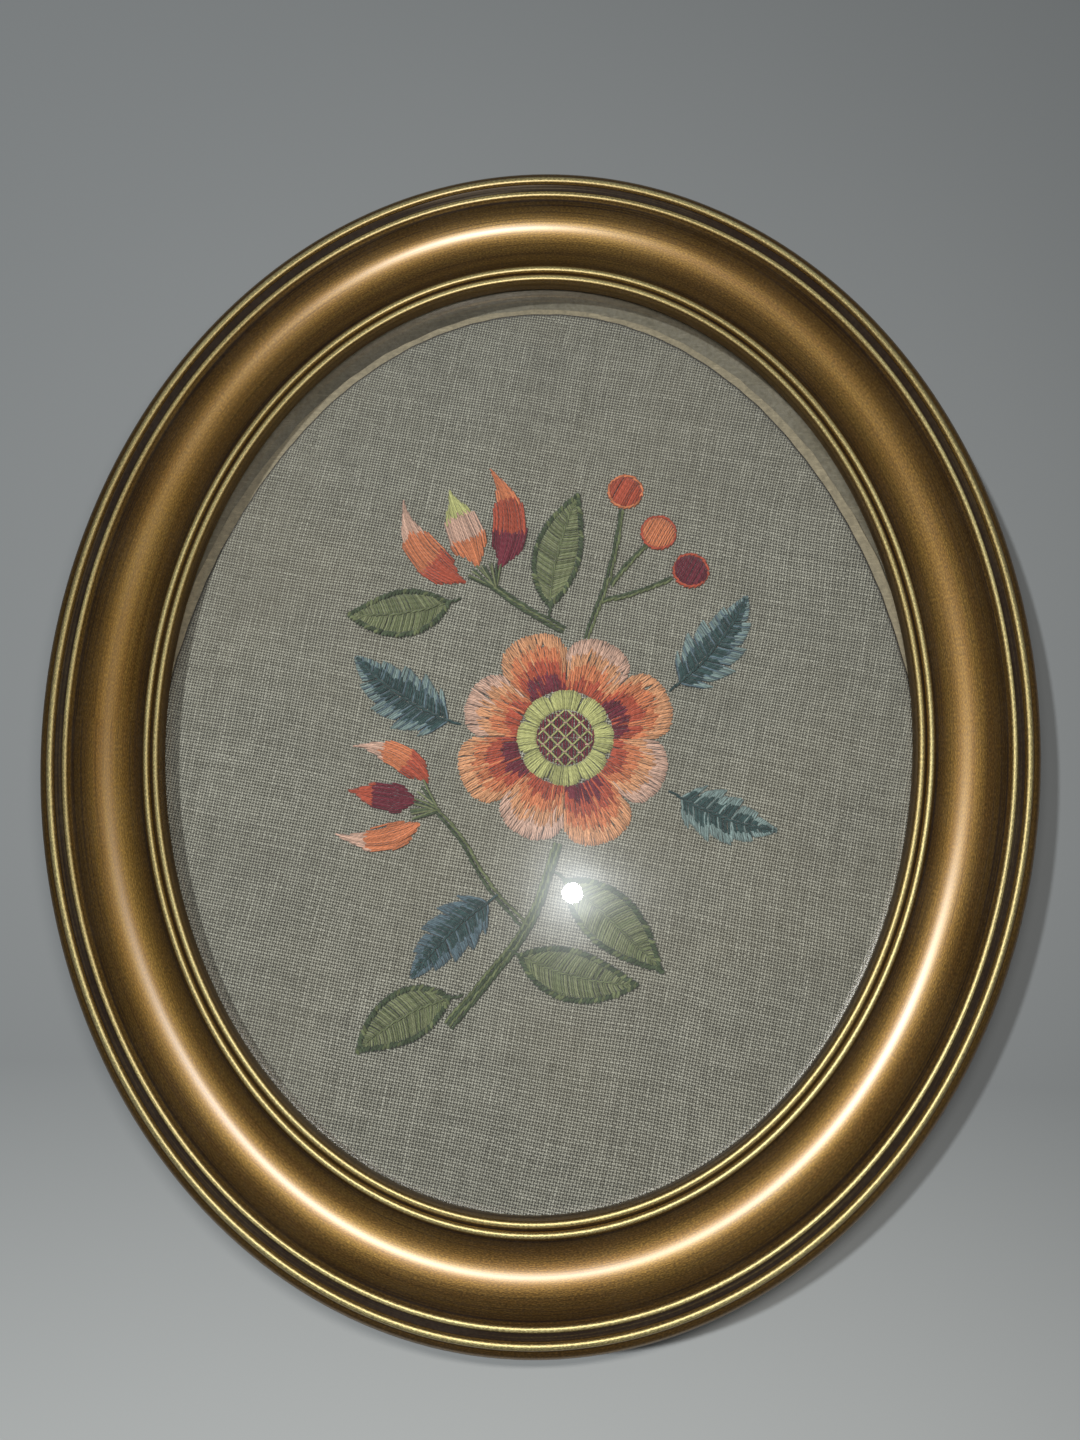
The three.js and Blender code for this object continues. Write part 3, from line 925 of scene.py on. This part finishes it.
def sewCup(name, blade):
    needle = Needle()
    work = cupWork
    halfOf = blade["half"] or lanceHalf
    lines = round(blade["width"] / work["spacing"])
    drop, fat = work["pad"]
    for (low, high, lift), tint in zip(work["rows"], reversed(blade["wools"])):
        for i in range(lines):
            lane = -1 + 2 * (i + 0.5) / lines
            near = low + picks.uniform(-1, 1) * work["ragged"]
            far = high + picks.uniform(-1, 1) * work["ragged"]
            # near the ends the petal is too narrow for every strand, so the outer ones stop short
            fits = [s for s in np.linspace(max(near, 0.015), min(far, 0.985), 16)
                    if halfOf(s) > min(abs(lane) * 0.9, 0.8)]
            if len(fits) < 5:
                continue
            ends = [spinePoint(blade, s, lane * halfOf(s) * (blade["width"] / 2 - 0.3))
                    for s in (fits[0], fits[-1])]
            part = fits[-1] - fits[0]
            bow = -blade["length"] * part * math.radians(blade["bend"]) * part / 8
            if i % 2:
                needle.stitch(*ends, work["lift"] + lift - drop, tint, fat, bow, 0.0)
            needle.stitch(*ends, work["lift"] + lift, tint, None, bow, 0.05)
    needle.finish(name)


# The open flower: round petals in three bands, a lime ring and a netted middle

flower = {
    "x": 8, "y": -5, "count": 8, "middleRadius": 7.5,
    "petal": {"inside": 12.6, "outside": 29.5, "inset": 1.3, "roundFrom": 0.55, "gap": 0.5},
    "sepal": {"inside": 8.2, "outside": 12.2, "roundFrom": 0.3, "gap": 0.5, "lines": 14, "past": 0.9},
    # passes: spacing, width and rise, with the padding first, so that no linen shows through
    "passes": ((1.05, 1.3, -0.14), (0.56, None, 0.0)),
    "bands": ((0.0, 5.0), (3.0, 9.0), (6.2, 12.8), (10.0, 17.4)), "ragged": 1.1,
    "oddWools": ("peach", "apricot", "coral", "brick"),
    "evenWools": ("apricot", "coral", "brick", "burgundy"),
    "strayShare": 0.08, "lift": 0.70, "bandRise": 0.09,
    "satinSpacing": 0.74, "satinLift": 0.5,
    "net": {"pitch": 2.7, "lifts": (0.95, 1.08), "width": 0.62, "tieLift": 1.25, "tieHalf": 0.62},
}


def wedgeReach(ring, outside, angle):
    # how far out the petal goes at an angle from its middle line
    spread = math.pi / flower["count"]
    best = ring["inside"]
    for share in np.linspace(0, 1, 80):
        radius = ring["inside"] + (outside - ring["inside"]) * share
        litAndShaded = max(0.0, (share - ring["roundFrom"]) / (1 - ring["roundFrom"]))
        half = (radius * math.tan(spread) - ring["gap"] / 2) * math.sqrt(max(0.0, 1 - litAndShaded ** 2.6))
        if half >= radius * math.tan(abs(angle)):
            best = max(best, radius)
    return best


def flowerPoint(radius, angle):
    return offsetFrom(flower, radius * math.cos(angle), radius * math.sin(angle))


def sewPetal(number):
    needle = Needle()
    odd = number % 2 == 1
    ring = flower["petal"]
    outside = ring["outside"] - (ring["inset"] if odd else 0)
    spread = math.pi / flower["count"]
    middle = (number + 0.5) * 2 * spread
    tints = flower["oddWools"] if odd else flower["evenWools"]
    for spacing, width, rise in flower["passes"]:
        for band, (near, far) in enumerate(flower["bands"]):
            lines = round(2 * spread * (outside - near - 1.5) / spacing)
            for i in range(lines):
                angle = spread * 0.98 * (-1 + 2 * (i + 0.5) / lines)
                reach = wedgeReach(ring, outside, angle) - (0.5 if width else 0.15)
                start = reach - near - (picks.uniform(-0.4, 1) * flower["ragged"] * 1.7 if band else 0)
                stop = max(reach - far + picks.uniform(-1, 1) * flower["ragged"] * 1.5, ring["inside"] - 0.3)
                if start - stop < 1.2:
                    continue
                tint = tints[band]
                if picks.random() < flower["strayShare"] and band:
                    tint = tints[band - 1]
                sway = picks.normal(0, 0.02)
                ends = flowerPoint(start, middle + angle), flowerPoint(stop, middle + angle * 0.97 + sway)
                lift = flower["lift"] + rise + flower["bandRise"] * band
                needle.stitch(*ends, lift, tint, width, 0.0, 0.10)
    needle.finish(f"petal_{number + 1}")


def sewSepal(number):
    needle = Needle()
    ring = flower["sepal"]
    spread = math.pi / flower["count"]
    middle = number * 2 * spread
    for i in range(ring["lines"]):
        angle = spread * 0.94 * (-1 + 2 * (i + 0.5) / ring["lines"])
        reach = wedgeReach(ring, ring["outside"], angle) + ring["past"]
        ends = [flowerPoint(far, middle + angle) for far in (reach, ring["inside"] - ring["past"])]
        if i % 2:
            needle.stitch(*ends, 0.86, "lime", 1.3, 0.0, 0.0)
        needle.stitch(*ends, 1.02, "lime", 0.76, 0.0, 0.08)
    needle.finish(f"sepal_{number + 1}")


def sewMiddle():
    needle = Needle()
    radius = flower["middleRadius"]
    net = flower["net"]
    lines = round(2 * radius / flower["satinSpacing"])
    for i in range(lines):
        across = radius * (-1 + 2 * (i + 0.5) / lines)
        half = math.sqrt(radius ** 2 - across ** 2)
        for part in (-1, 1):
            ends = [offsetFrom(flower, across, far) for far in sorted((part * half, -0.3 * part))]
            needle.stitch(*ends, flower["satinLift"], "burgundy", None, 0, 0.05)
    # a net of two ways of thread, tied down where they cross
    pitch = net["pitch"]
    steps = range(-int(radius / pitch), int(radius / pitch) + 1)
    for way, lift in zip((45, 135), net["lifts"]):
        for i in steps:
            half = math.sqrt(max(radius ** 2 - (i * pitch) ** 2, 0))
            ends = [offsetFrom(flower, *turned(far, i * pitch, way)) for far in (-half, half)]
            needle.stitch(*ends, lift, "lime", net["width"], 0, 0.04)
    for i in steps:
        for j in steps:
            x, y = turned(i * pitch, j * pitch, 45)
            if math.hypot(x, y) < radius - 0.8:
                ends = [offsetFrom(flower, x + far, y) for far in (-net["tieHalf"], net["tieHalf"])]
                needle.stitch(*ends, net["tieLift"], "peach", 0.5, 0, 0.02)
    needle.finish("flower_middle")


# Berries: padded satin stitch, with a ring of stem stitch

berries = {
    "berry_high": {"x": 23, "y": 62.5, "wool": "brick", "rim": "coral", "slot": "wool_brick"},
    "berry_middle": {"x": 32, "y": 51, "wool": "coral", "rim": "brick", "slot": "wool_coral"},
    "berry_low": {"x": 40.5, "y": 40.5, "wool": "burgundy", "rim": "brick", "slot": "wool_burgundy"},
}
berryWork = {
    "radius": 5.0, "spacing": 0.60, "slant": 62, "lift": 0.62, "dome": 0.4, "pad": (0.14, 1.3),
    "rimInset": 0.4, "rimRun": (2.4, 1.3, 0.62), "rimWidth": 0.8,
}


def sewBerry(name, berry):
    needle = Needle()
    work = berryWork
    drop, fat = work["pad"]
    radius = work["radius"] - 0.5
    lines = round(2 * radius / work["spacing"])
    for i in range(lines):
        off = radius * (-1 + 2 * (i + 0.5) / lines)
        half = math.sqrt(radius ** 2 - off ** 2)
        lift = work["lift"] + work["dome"] * (half / radius)
        ends = [offsetFrom(berry, *turned(far, off, work["slant"])) for far in (-half, half)]
        if i % 2:
            needle.stitch(*ends, lift - drop, berry["wool"], fat, 0, 0.0)
        needle.stitch(*ends, lift, berry["wool"], None, 0, 0.05)
    rimAt = work["radius"] - work["rimInset"]
    angles = np.linspace(0, 2 * math.pi, 50)
    rim = [offsetFrom(berry, rimAt * math.cos(a), rimAt * math.sin(a)) for a in angles]
    needle.run(rim, *work["rimRun"], berry["rim"], work["rimWidth"])
    needle.finish(name)


# Stems and twigs: rows of stem stitch side by side

def stemAlong(rows, widths, past, *line, slot="wool_olive", calyx=()):
    # widths: at foot and tip; past: how far the stitching goes on past both ends; calyx: foot, then tips
    return {"slot": slot, "rows": rows, "widths": widths, "past": past, "line": line, "calyx": calyx}


stems = {
    "stem_low": stemAlong(
        4, (3.0, 2.4), (0, 4), (-20, -78), (-10, -66), (0, -52), (5.5, -36), slot="wool_dark_green",
    ),
    "stem_high": stemAlong(
        3, (2.4, 2.0), (5, 1), (3, 26), (-4, 30), (-11.5, 35.2), slot="wool_dark_green",
        calyx=((-11.2, 35.0), (-19.4, 38.2), (-17.6, 41.0), (-14.2, 42.2), (-10.2, 42.0)),
    ),
    "twig_high": stemAlong(2, (1.8, 1.4), (5, 1), (14.5, 26), (18, 36), (20.5, 46), (22, 56.6)),
    "twig_middle": stemAlong(2, (1.4, 1.4), (2.5, 1), (20.8, 38.1), (24.5, 43), (28.2, 46.8)),
    "twig_low": stemAlong(2, (1.4, 1.4), (2.5, 1), (19.2, 32.4), (27, 34.6), (34.9, 38)),
    "twig_bud": stemAlong(
        2, (2.0, 1.6), (3, 1), (-2.4, -52), (-11, -43), (-18, -32), (-25, -24.2),
        calyx=((-24.6, -24.2), (-31.2, -27.8), (-31.8, -24.6), (-31.4, -21.4), (-28.2, -16.6)),
    ),
}
stemWork = {
    "run": (3.3, 1.7, 0.62), "width": 0.82, "inset": 0.8, "calyxLines": 11, "calyxLift": 0.95,
    "wools": {"wool_dark_green": ("darkGreen", "olive"), "wool_olive": ("olive", "darkGreen")},
    "calyxWools": ("darkGreen", "olive", "moss"),
}


def smoothLine(points, steps=12):
    p = np.array(points, float)
    p = np.vstack([2 * p[0] - p[1], p, 2 * p[-1] - p[-2]])
    line = []
    for i in range(1, len(p) - 2):
        a, b, c, d = p[i - 1:i + 3]
        for t in np.linspace(0, 1, steps, endpoint=False):
            curve = (2 * a - 5 * b + 4 * c - d) * t ** 2 + (3 * b - a - 3 * c + d) * t ** 3
            line.append((2 * b + (c - a) * t + curve) / 2)
    return np.array(line + [p[-2]])


def longer(line, before, after):
    # the same line, carried straight on past both ends
    first = line[0] + (line[0] - line[1]) / np.hypot(*(line[0] - line[1])) * before
    last = line[-1] + (line[-1] - line[-2]) / np.hypot(*(line[-1] - line[-2])) * after
    return np.vstack([first, line, last] if before else [line, last])


def sewStem(name, stem):
    needle = Needle()
    work = stemWork
    line = longer(smoothLine(stem["line"]), *stem["past"])
    way = np.gradient(line, axis=0)
    way /= np.hypot(way[:, 0], way[:, 1])[:, None]
    aside = np.stack([-way[:, 1], way[:, 0]], 1)
    wide = np.linspace(*stem["widths"], len(line))[:, None] - work["inset"]
    for row in range(stem["rows"]):
        off = row / (stem["rows"] - 1) - 0.5
        tint = work["wools"][stem["slot"]][row % 2]
        needle.run(line + aside * wide * off, *work["run"], tint, work["width"])
    if stem["calyx"]:
        start, tips = stem["calyx"][0], np.array(stem["calyx"][1:])
        for i in range(work["calyxLines"]):
            at = i / (work["calyxLines"] - 1) * (len(tips) - 1)
            tip = [np.interp(at, range(len(tips)), tips[:, axis]) for axis in (0, 1)]
            needle.stitch(start, tip, work["calyxLift"], work["calyxWools"][i % 3], None, 0.0, 0.35)
    needle.finish(name)


for sew, pieces in ((sewLeaf, leaves), (sewFrond, fronds), (sewCup, cups)):
    for name, blade in pieces.items():
        sew(name, blade)
for number in range(flower["count"]):
    sewPetal(number)
    sewSepal(number)
sewMiddle()
for sew, pieces in ((sewBerry, berries), (sewStem, stems)):
    for name, piece in pieces.items():
        sew(name, piece)
woolPieces = [piece for piece in bpy.data.objects if piece.name.endswith("_wool")]
print("wool done,", sum(len(piece.data.polygons) for piece in woolPieces), "faces")


# Floor, lights and camera

studio = {
    "floor": (0.236, 0.247, 0.250), "litFloor": (0.55, 0.565, 0.557), "floorSize": 3.0,
    "world": (0.50, 0.50, 0.49), "worldStrength": 0.14,
    "lights": {
        "flash": {
            "at": (22, -22, 285), "aim": (0, -5, 0), "size": (90, 14), "power": 0.42,
            "colour": (1.0, 0.975, 0.94), "skips": ("pane",),
        },
        "glare": {
            "at": (9, -42, 292), "aim": (10, -44, 0), "size": (11, 11), "power": 0.04,
            "colour": (0.93, 0.98, 1.0), "skips": (),
        },
        "room": {
            "at": (-440, 130, 900), "aim": (0, 0, 0), "size": (45, 45), "power": 6.0,
            "colour": (0.95, 0.98, 1.0), "skips": ("pane", "gilded_moulding"),
        },
    },
}
camera = {"at": (11.91, -47.32, 259.28), "turn": (10.014, 2.054, 1.254), "lens": 26.0, "sensor": 36.0}


def makeStudio():
    scene = bpy.context.scene
    bpy.ops.mesh.primitive_plane_add(size=studio["floorSize"], location=(0, 0, 0))
    floor = bpy.context.object
    floor.name = "floor"
    material, shader = newMaterial("paleFloor")
    spot = spotOf(shader)
    pale = blendColour(remap(noise(spot, 3, 3), 0.3, 0.7), studio["floor"], scaled(studio["floor"], 0.96))
    # painted light: the floor grows much paler towards the camera side
    floorLight = remap(partsOf(spot)[1], -0.09, -0.20)
    feed(shader, {"Base Color": blendColour(floorLight, pale, studio["litFloor"]), "Roughness": 0.8})
    floor.data.materials.append(material)

    scene.world = bpy.data.worlds.new("studio")
    scene.world.use_nodes = True
    background = scene.world.node_tree.nodes["Background"]
    feed(background, {"Color": studio["world"], "Strength": studio["worldStrength"]})

    # a lamp lights all but what it skips, so that the glass shows the small one only
    for name, light in studio["lights"].items():
        data = bpy.data.lights.new(name, "AREA")
        data.shape = "ELLIPSE"
        data.size, data.size_y = (side * mm for side in light["size"])
        data.energy = light["power"]
        data.color = light["colour"]
        lamp = bpy.data.objects.new(name, data)
        scene.collection.objects.link(lamp)
        lamp.location = [v * mm for v in light["at"]]
        x, y, z = np.array(light["aim"], float) - np.array(light["at"], float)
        lamp.rotation_euler = (math.atan2(y, -z), math.atan2(-x, math.hypot(y, z)), 0)
        if light["skips"]:
            skipped = bpy.data.collections.new(name + "Skips")
            for piece in light["skips"]:
                skipped.objects.link(frame["nodes"].get(piece) or bpy.data.objects[piece])
            for entry in skipped.collection_objects:
                entry.light_linking.link_state = "EXCLUDE"
            lamp.light_linking.receiver_collection = skipped

    data = bpy.data.cameras.new("photoView")
    data.lens = camera["lens"]
    data.sensor_width = camera["sensor"]
    data.clip_start = 0.01
    scene.camera = bpy.data.objects.new("photoView", data)
    scene.collection.objects.link(scene.camera)
    x, y, z = camera["at"]
    scene.camera.location = (x * mm, y * mm, (z + moulding["reeds"]["lip"][1]) * mm)
    scene.camera.rotation_euler = Euler([math.radians(a) for a in camera["turn"]], "XYZ")
    scene.view_settings.view_transform = "Standard"


makeStudio()
